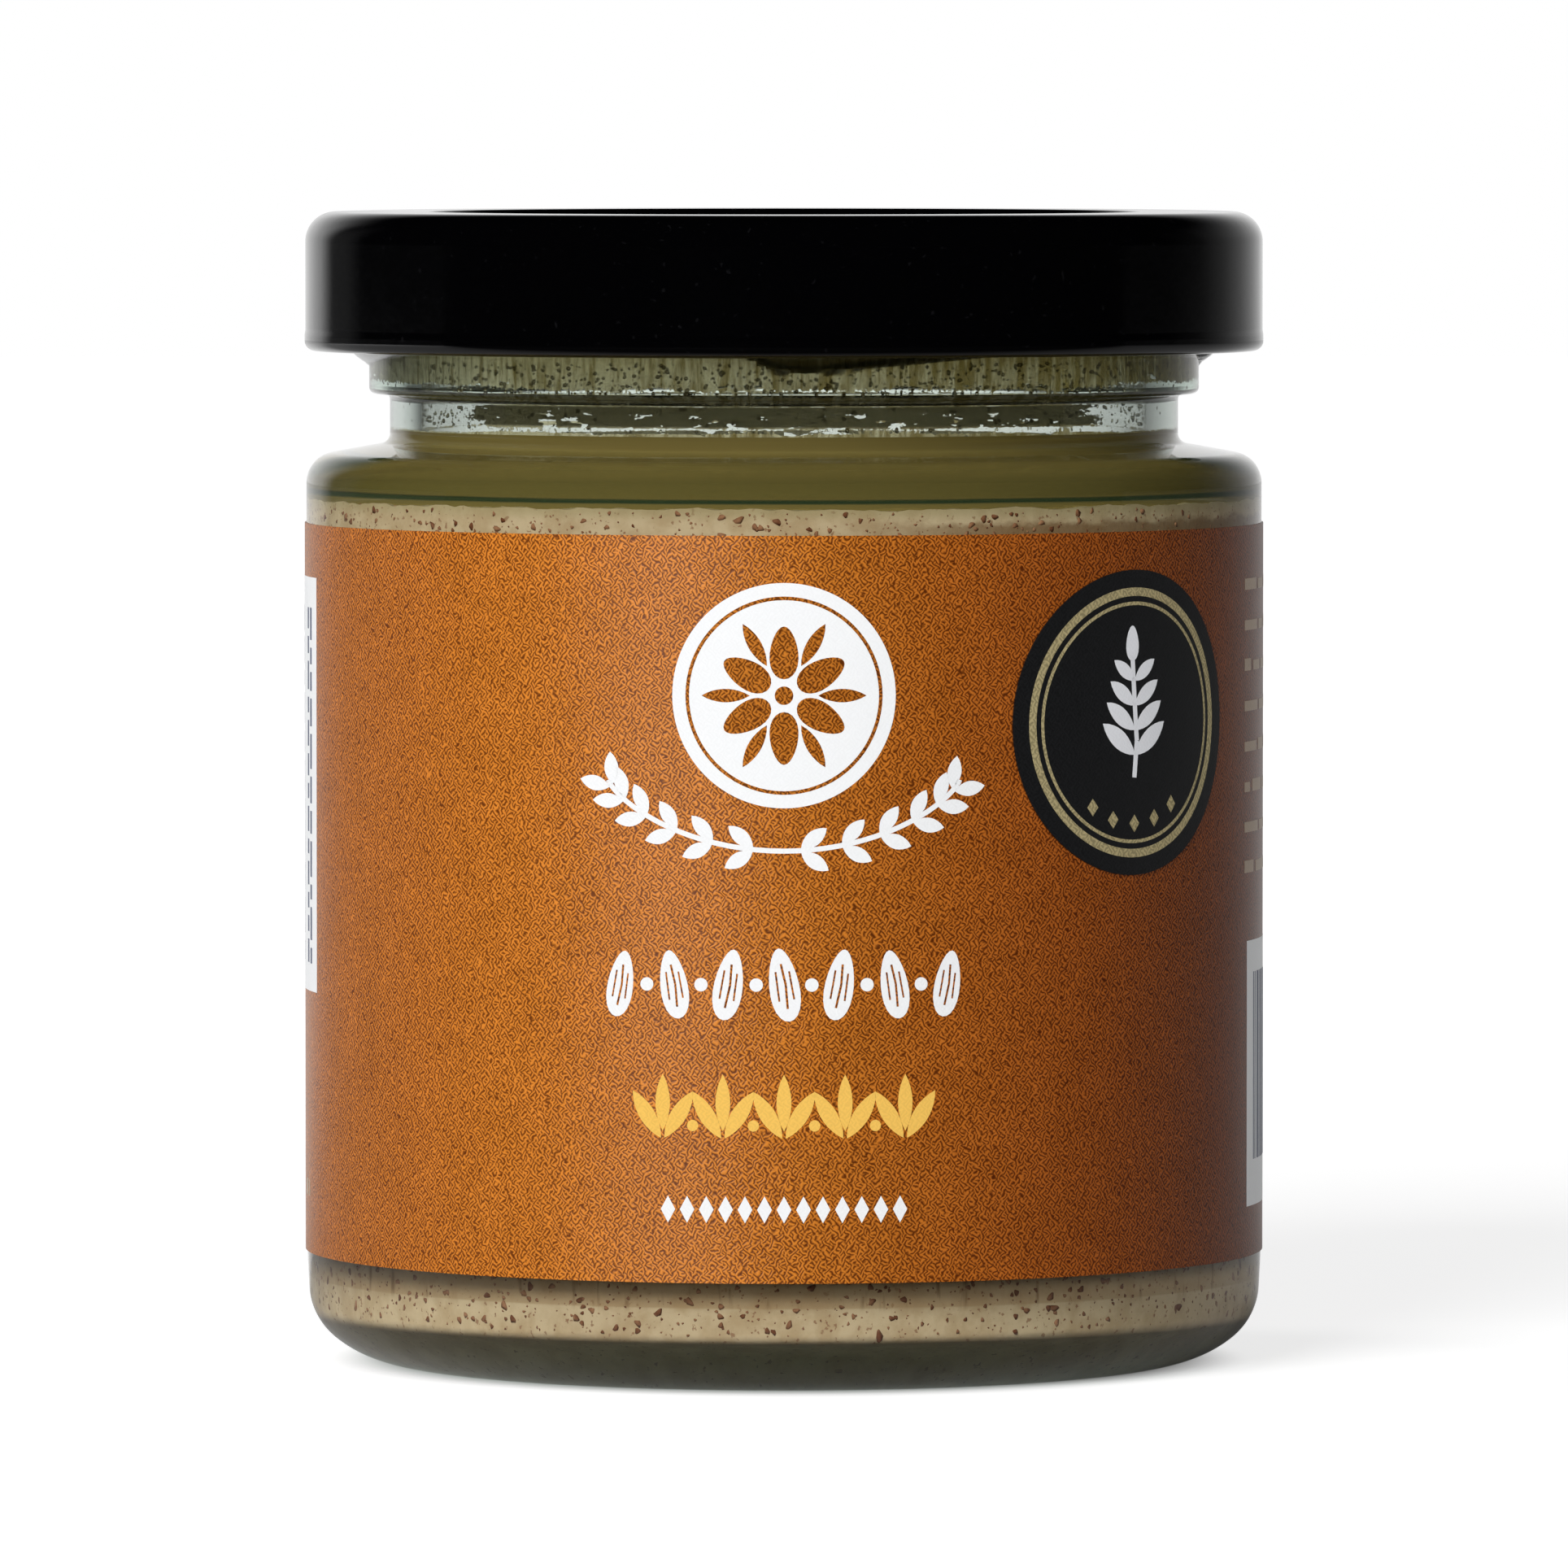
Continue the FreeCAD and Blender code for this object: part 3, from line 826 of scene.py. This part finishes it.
# Almond skin against the glass where the label leaves it bare, and on top under the oil
flecks = {
    "Density": 1.7e6, "Smallest": 0.00005, "Largest": 0.00024, "Longest": 2.3, "Flatness": 0.3, "Evenness": 2.6,
    "Seed": 11}
fleckWall = 32.29
fleckBands = [(fleckWall, 4.4, fleckWall, 5.6, 1.0), (fleckWall, 5.6, fleckWall, 8.8, 1.0),
              (fleckWall, 60.0, fleckWall, 62.1, 1.1), (27.0, 62.35, 32.1, 62.25, 0.6),
              (fleckWall, 8.8, fleckWall, 60.0, 0.8, math.radians(84), math.radians(12))]
scattered("skinFlecks", fleckBands, lumpShape("fleck", 0.28, 3), flecks, skinMaterial())

beads = {
    "Density": 6.0e6, "Smallest": 0.00004, "Largest": 0.00017, "Longest": 1.6, "Flatness": 0.7, "Evenness": 2.0,
    "Seed": 5}
beadBands = [(26.14, 69.9, 26.14, 72.4, 1.0), (26.14, 67.6, 26.14, 69.9, 0.35)]


def makeSmear():
    # A thin film up the inside of the neck, its back just in the glass
    low, high, back, front = smearLook["low"], smearLook["high"], smearLook["back"], smearLook["front"]
    ring = [Vector(p) for p in ((back, low), (back, high), (front, high), (front, low), (back, low))]
    points = []
    for before, after in zip(ring, ring[1:]):
        parts = max(1, math.ceil((after - before).length / smearLook["rows"]))
        points += [before.lerp(after, n / parts) for n in range(parts)]
    return turned("neckSmear", points + [ring[-1]], smearMaterial())


neckSmear = makeSmear()
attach(neckSmear, "root")
scattered("neckBeads", beadBands, lumpShape("bead", 0.0, 1), beads, beadMaterial())


# Lid

lidSize = {"radius": 34.55, "top": 83.0, "bottom": 72.997, "hem": 34.61, "tin": 0.3, "sunk": 0.7, "rim": 82.2}


def makeLid():
    radius, top, bottom, hem, tin, sunk, rim = lidSize.values()
    sunk = top - sunk
    corners = [
        (0, sunk, 0), (25.0, sunk, 0.4), (25.8, top, 0.4), (radius, top, 2.15), (radius, bottom + 1.5, 0.4),
        (hem, bottom + 1.15, 0.3), (hem, bottom, 0.7), (hem - 1.5, bottom, 0.7), (hem - 1.5, bottom + 1.5, 0.35),
        (radius - tin, bottom + 1.85, 0.3), (radius - tin, top - tin, 1.85), (30.78, top - tin, 0),
        (30.78, rim, 0), (26.1, rim, 0), (25.3, sunk - tin, 0), (0, sunk - tin, 0)]
    return turned("lidShell", roundedRun(corners, arcStep=0.15), lacquerMaterial(), 360)


lidShell = makeLid()
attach(lidShell, "root")
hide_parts("lid")


# Label and seal

labelSize = {"low": 8.1, "high": 60.6, "inner": 34.505, "outer": 34.62, "gap": 12.0}


def makeLabel():
    low, high, inner, outer, gap = labelSize.values()
    ring = [Vector(p) for p in ((inner, low), (outer, low), (outer, high), (inner, high), (inner, low))]
    gap = math.radians(gap)
    return turned("wrapLabel", ring, labelInk, 348, math.pi / 2 + gap / 2, math.tau - gap)


labelInk = labelMaterial()
wrapLabel = makeLabel()
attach(wrapLabel, "root")
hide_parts("label")

# Print on the label: fields, rows of kernels and leaves, and a plain kernel emblem
prints = {
    "radius": 34.615, "film": 0.017, "motifFilm": 0.026, "discUp": 49.4, "disc": 7.9,
    "white": (0.84, 0.85, 0.86), "yellow": (0.83, 0.50, 0.10), "cream": (0.40, 0.30, 0.215),
    "navy": (0.045, 0.06, 0.13), "gold": (0.50, 0.42, 0.22), "black": (0.0085, 0.0088, 0.0095)}


def shapeRow(name, outline, count, spacing, height, lean=0.0, taper=0.0):
    # One flat shape repeated along the label
    shape = addObject(name + "Shape", flatMesh(name, outline))
    row = addObject(name, bpy.data.meshes.new(name))
    runNodes(row, rowNodes, name, Shape=shape, Count=count, Spacing=spacing, Height=height, Lean=lean,
             Taper=taper)
    mesh = row.data
    bpy.data.objects.remove(shape)
    bpy.data.objects.remove(row)
    return mesh


def garland(half=12.6, top=43.4, sag=4.9):
    # A sagging stem with leaves to both sides
    turns = [math.pi / 2 * (n / 20 - 1) for n in range(21)]
    stem = [(half * math.sin(t), top - sag * math.cos(t) ** 1.5) for t in turns]
    stem += [(-x, y) for x, y in reversed(stem[:-1])]
    faces = strip(stem, 0.36)
    for n in range(3, len(stem) - 3, 3):
        (x0, y0), (x1, y1) = stem[n - 1], stem[n + 1]
        along = math.atan2(y1 - y0, x1 - x0)
        if x0 < -0.5:
            along += math.pi
        for lean in (along + 0.62, along - 0.62):
            x, y = stem[n][0] + 0.26 * math.cos(lean), stem[n][1] + 0.26 * math.sin(lean)   # just off the stem
            faces.append(leaf(x, y, 2.3, 1.05, lean))
    return faces


def rosette(up):
    # Six kernels round a dot, a leaf between each two
    faces = [oval(0, up, 1.3, 1.3)]
    for n in range(6):
        t = math.tau * n / 6
        faces.append(oval(-3.0 * math.sin(t), up + 3.0 * math.cos(t), 2.0, 3.7, 0.2, t))
        lean = t + math.pi / 6 + math.pi / 2
        faces.append(leaf(2.4 * math.cos(lean), up + 2.4 * math.sin(lean), 3.4, 0.95, lean))
    return faces + ringFaces(0, up, 6.95, 6.7)


def wordDashes(across, up, rows, pitch, width, height, seed):
    # Rows of bars of uneven length stand for small print
    chance, faces = random.Random(seed), []
    for row in range(rows):
        x, end = across, across + width * chance.uniform(0.78, 1.0)
        while x < end:
            length = chance.uniform(1.4, 4.6)
            faces.append(bar(x, up - row * pitch, length, height * chance.uniform(0.85, 1.1)))
            x += length + 0.75
    return faces


def dashColumns(across, up, low, columns, seed):
    # Turned rows of short dashes along a panel's edge
    chance, faces = random.Random(seed), []
    for column in range(columns):
        y = up
        while y > low + 1.0:
            length = min(chance.uniform(1.0, 2.6), y - low)
            faces.append(bar(across + column * 1.25, y - length, 0.62, length))
            y -= length + 0.55
    return faces


def stripes(across, up, height, width, seed):
    chance, faces, x = random.Random(seed), [], across
    while x < across + width:
        thick = chance.choice((0.25, 0.25, 0.5, 0.75))
        faces.append(bar(x, up, thick, height))
        x += thick + chance.choice((0.3, 0.3, 0.55))
    return faces


def makePrints():
    white, yellow, cream, navy = (
        inkMaterial(name + "Ink", prints[name], grain=grain)
        for name, grain in (("white", 0.015), ("yellow", 0.05), ("cream", 0.08), ("navy", 0.05)))
    film, high, up, disc = prints["film"], prints["motifFilm"], prints["discUp"], 2 * prints["disc"]

    def stamp(name, faces, ink, thick=film):
        wrapped(name, faces, ink, prints["radius"], thick)

    def stampRow(name, outline, row, ink, thick=film):
        stamp(name, shapeRow(name, outline, *row), ink, thick)

    stamp("emblemDisc", [oval(0, up, disc, disc, steps=96)], white)
    stamp("emblemKernels", rosette(up), labelInk, high)
    stamp("leafGarland", garland(), white)
    kernels = (7, 3.9, 29.1, math.radians(9), 0.1)
    stampRow("kernelRow", [oval(0, 0, 2.1, 5.2, 0.2)], kernels, white)
    stampRow("kernelDots", [oval(0, 0, 0.95, 0.95)], (6, 3.9, 29.1), white)
    lines = (strip([(0, -1.7), (0.12, 0), (0, 1.5)], 0.16) + strip([(-0.5, -1.1), (-0.45, 1.0)], 0.13)
             + strip([(0.55, -1.1), (0.5, 0.9)], 0.13))
    stampRow("kernelLines", lines, kernels, labelInk, high)
    spray = [leaf(0.12, -2.1, 3.9, 1.15, math.radians(58)), leaf(-0.12, -2.1, 3.9, 1.15, math.radians(122)),
             leaf(0, -1.6, 4.0, 1.05, math.radians(90))]
    stampRow("leafRow", spray, (5, 4.3, 20.4), yellow)
    stampRow("leafDots", [oval(0, -1.2, 0.8, 0.8)], (4, 4.3, 20.4), yellow)
    stampRow("diamondRow", [[(0, -0.95), (0.52, 0), (0, 0.95), (-0.52, 0)]], (13, 1.37, 13.3), white)
    stamp("leftPanel", [bar(-78.5, 27.0, 32.8, 29.8)], white)
    stamp("leftDashes", dashColumns(-49.3, 54.6, 29.0, 2, 7), navy, high)
    stamp("leftColumns", dashColumns(-76.5, 54.6, 29.0, 19, 9), navy, high)
    stamp("leftTag", [bar(-50.6, 12.2, 1.1, 1.2), bar(-49.0, 12.2, 0.5, 1.2)], cream)
    stamp("rightDashes", wordDashes(43.7, 56.0, 8, 2.9, 24.5, 0.8, 21), cream)
    stamp("rightPanel", [bar(44.4, 11.7, 31.1, 19.1)], white)
    stamp("rightStripes", stripes(46.4, 15.0, 13.5, 25.5, 4), navy, high)
    print("label print done")


makePrints()

# Seal: a black paper disc with two gold rings, a white sprig and small gold diamonds
seal = {
    "turn": 45.5, "up": 47.1, "radius": 10.8, "wall": 34.62, "film": 0.12, "print": 0.014, "bite": 0.004,
    "rings": ((9.55, 8.95), (8.55, 8.3)), "diamonds": 5, "diamondReach": 7.15, "diamondStep": 0.3,
    "sprigWhite": (0.80, 0.81, 0.84)}


def sprig(up):
    faces = strip([(0, up - 4.6), (0.25, up - 2), (0, up + 1), (-0.2, up + 4.0)], 0.42)
    for n in range(4):
        for side in (-1, 1):
            lean = math.pi / 2 + side * math.radians(54)
            faces.append(leaf(0.05, up - 3.0 + n * 1.75, 3.9 - 0.45 * n, 1.35 - 0.12 * n, lean))
    return faces + [oval(-0.2, up + 4.9, 1.25, 2.5, 0.2)]


def makeSeal():
    black = inkMaterial("sealPaper", prints["black"], roughness=0.5, grain=0.25)
    gold = inkMaterial("goldInk", prints["gold"], roughness=0.38, metallic=0.35, grain=0.3, period=0.0003)
    white = inkMaterial("sealWhite", seal["sprigWhite"], grain=0.02)
    up, wide = seal["up"], 2 * seal["radius"]
    disc = wrapped("sealDisc", [oval(0, up, wide, wide, steps=120)], black, seal["wall"], seal["film"],
                   seal["turn"])
    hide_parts("round_seal")
    rings = [face for outer, inner in seal["rings"] for face in ringFaces(0, up, outer, inner, 96)]
    for n in range(seal["diamonds"]):
        t = -math.pi / 2 + (n - 2) * seal["diamondStep"]
        x, y = seal["diamondReach"] * math.cos(t), up + seal["diamondReach"] * math.sin(t)
        rings.append([(x, y - 0.62), (x + 0.5, y), (x, y + 0.62), (x - 0.5, y)])
    top = seal["wall"] + seal["film"] - seal["bite"]
    for name, faces, ink in (("sealRings", rings, gold), ("sealSprig", sprig(up + 0.7), white)):
        wrapped(name, faces, ink, top, seal["print"], seal["turn"])


makeSeal()
print("seal done")


# Stage, light and camera

studio = {"floorRadius": 4.0, "fill": 0.06, "overhead": (6, 32), "aside": (0.14, 0.5), "throughLoss": 0.88,
          # azimuth from the front, right positive; elevation, distance, size, power
          "key": (-25, 28, 1.2, 0.6, 12.6), "right": (60, 14, 1.2, 0.5, 3.0), "left": (-110, 16, 1.2, 0.5, 6.3),
          "low": (-18, 3, 1.2, 0.4, 2.6), "sheen": (-28, 4, 1.2, 0.7, 5.2), "aim": (0, 0, 0.045),
          # degrees from straight behind, right positive, and how bright the studio is there
          "surround": [(-180, 0.0), (-58, 0.0), (-50, 0.07), (-40, 0.06), (-31, 0.78), (-20, 1.0), (0, 1.0),
                       (14, 0.85), (27, 0.55), (37, 0.32), (48, 0.14), (60, 0.03), (75, 0.0)]}
view = {"place": (0, -1.104, 0.0925), "down": 2.639, "lens": 350.85, "sensor": 36.0}


def surroundTree():
    # How bright the studio is in a direction: white behind, black towards the camera, dark overhead
    outputs = {"Level": "Float", "Aside": "Float"}
    tree, given, result = newTree("studioSurround", {"Direction": "Vector"}, outputs)
    unit = addNode("ShaderNodeVectorMath", {0: given["Direction"]}, operation="NORMALIZE")[0]
    x, y, up = split(unit)
    bearing = mathNode("ARCTAN2", x, y)
    stops = [(degrees, (level, level, level)) for degrees, level in studio["surround"]]
    around = turnRamp(timesPlus(bearing, 1 / math.tau, 0.5), stops)
    low, high = (math.sin(math.radians(angle)) for angle in studio["overhead"])
    link(times(around, fade(up, low, high, 1.0, 0.0)), result["Level"])
    link(fade(positive(bearing), *studio["aside"]), result["Aside"])
    return tree


floorLook = {
    "roughness": 0.9, "foot": (0.026, 0.034, 0.0, 0.74), "far": (0.1, 0.6, 0.0, 0.26), "front": (0.0, -0.1),
    "grey": (0.5, 0.5, 0.5), "dark": (0.02, 0.02, 0.02)}


def makeFloor():
    # White to the camera; gloss and glass see the studio behind the jar in it, and no glow lies under the foot
    disc = bmesh.new()
    bmesh.ops.create_circle(disc, cap_ends=True, segments=96, radius=studio["floorRadius"])
    floor = addObject("studioFloor", plainMesh("studioFloor", disc))
    material, tree, shader = newMaterial("paleFloor")
    path = addNode("ShaderNodeLightPath", tree=tree)
    glossy, camera = path["Is Glossy Ray"], path["Is Camera Ray"]
    where = objectPlace(tree)
    reach = addNode("ShaderNodeVectorMath", {0: where}, operation="LENGTH")["Value"]
    near, far = fade(reach, *floorLook["foot"]), fade(reach, *floorLook["far"])
    surround = addNode("ShaderNodeGroup", {0: where}, node_tree=surroundNodes)[0]
    seen = times(times(surround, near), largest(glossy, path["Is Transmission Ray"]))
    front = times(fade(split(where)["Y"], *floorLook["front"]), glossy)
    glow = plus(times(plus(near, far), camera), seen)
    setShader(shader, color=mixed(front, floorLook["grey"], floorLook["dark"]), specular=0.0,
              roughness=floorLook["roughness"], glow=(1, 1, 1), glowStrength=glow)
    floor.data.materials.append(material)


def makeWorld():
    world = bpy.data.worlds.new("studio")
    world.use_nodes = True
    bpy.context.scene.world = world
    tree = world.node_tree
    direction = addNode("ShaderNodeTexCoord", tree=tree)["Generated"]
    surround = addNode("ShaderNodeGroup", {0: direction}, node_tree=surroundNodes)
    path = addNode("ShaderNodeLightPath", tree=tree)
    fill = times(path["Is Diffuse Ray"], studio["fill"])
    through = times(path["Is Transmission Ray"], studio["throughLoss"])
    seen = times(surround["Level"], minus(1.0, times(through, surround["Aside"])))
    background = tree.nodes["Background"].inputs
    feed(background["Strength"], largest(plus(seen, fill), path["Is Camera Ray"]))
    feed(background["Color"], (1, 1, 1))
    world.cycles.sampling_method = "NONE"


def addLamp(name, azimuth, elevation, distance, size, power, only=None):
    # A lamp on one piece alone is there for its sheen
    lamp = bpy.data.lights.new(name, "AREA")
    lamp.shape = "DISK"
    lamp.size = size
    lamp.energy = power
    obj = addObject(name, lamp)
    a, e = math.radians(azimuth), math.radians(elevation)
    offset = Vector((math.sin(a) * math.cos(e), -math.cos(a) * math.cos(e), math.sin(e))) * distance
    obj.location = Vector(studio["aim"]) + offset
    obj.rotation_euler = (-offset).to_track_quat("-Z", "Y").to_euler()
    obj.visible_glossy = bool(only)
    obj.visible_camera = obj.visible_transmission = False
    if only:
        obj.light_linking.receiver_collection = bpy.data.collections.new(name + "Lights")
        obj.light_linking.receiver_collection.objects.link(only)


def makeCamera():
    camera = bpy.data.cameras.new("camera")
    camera.sensor_width = view["sensor"]
    camera.lens = view["lens"]
    camera.clip_end = 50
    obj = addObject("camera", camera)
    obj.location = view["place"]
    obj.rotation_euler = (math.radians(90 - view["down"]), 0, 0)
    bpy.context.scene.camera = obj


surroundNodes = surroundTree()
makeFloor()
makeWorld()
for side in ("key", "right", "left", "low"):
    addLamp(side + "Lamp", *studio[side])
addLamp("sheenLamp", *studio["sheen"], only=wrapLabel)
makeCamera()
bpy.context.scene.view_settings.view_transform = "Standard"
print("studio ready")
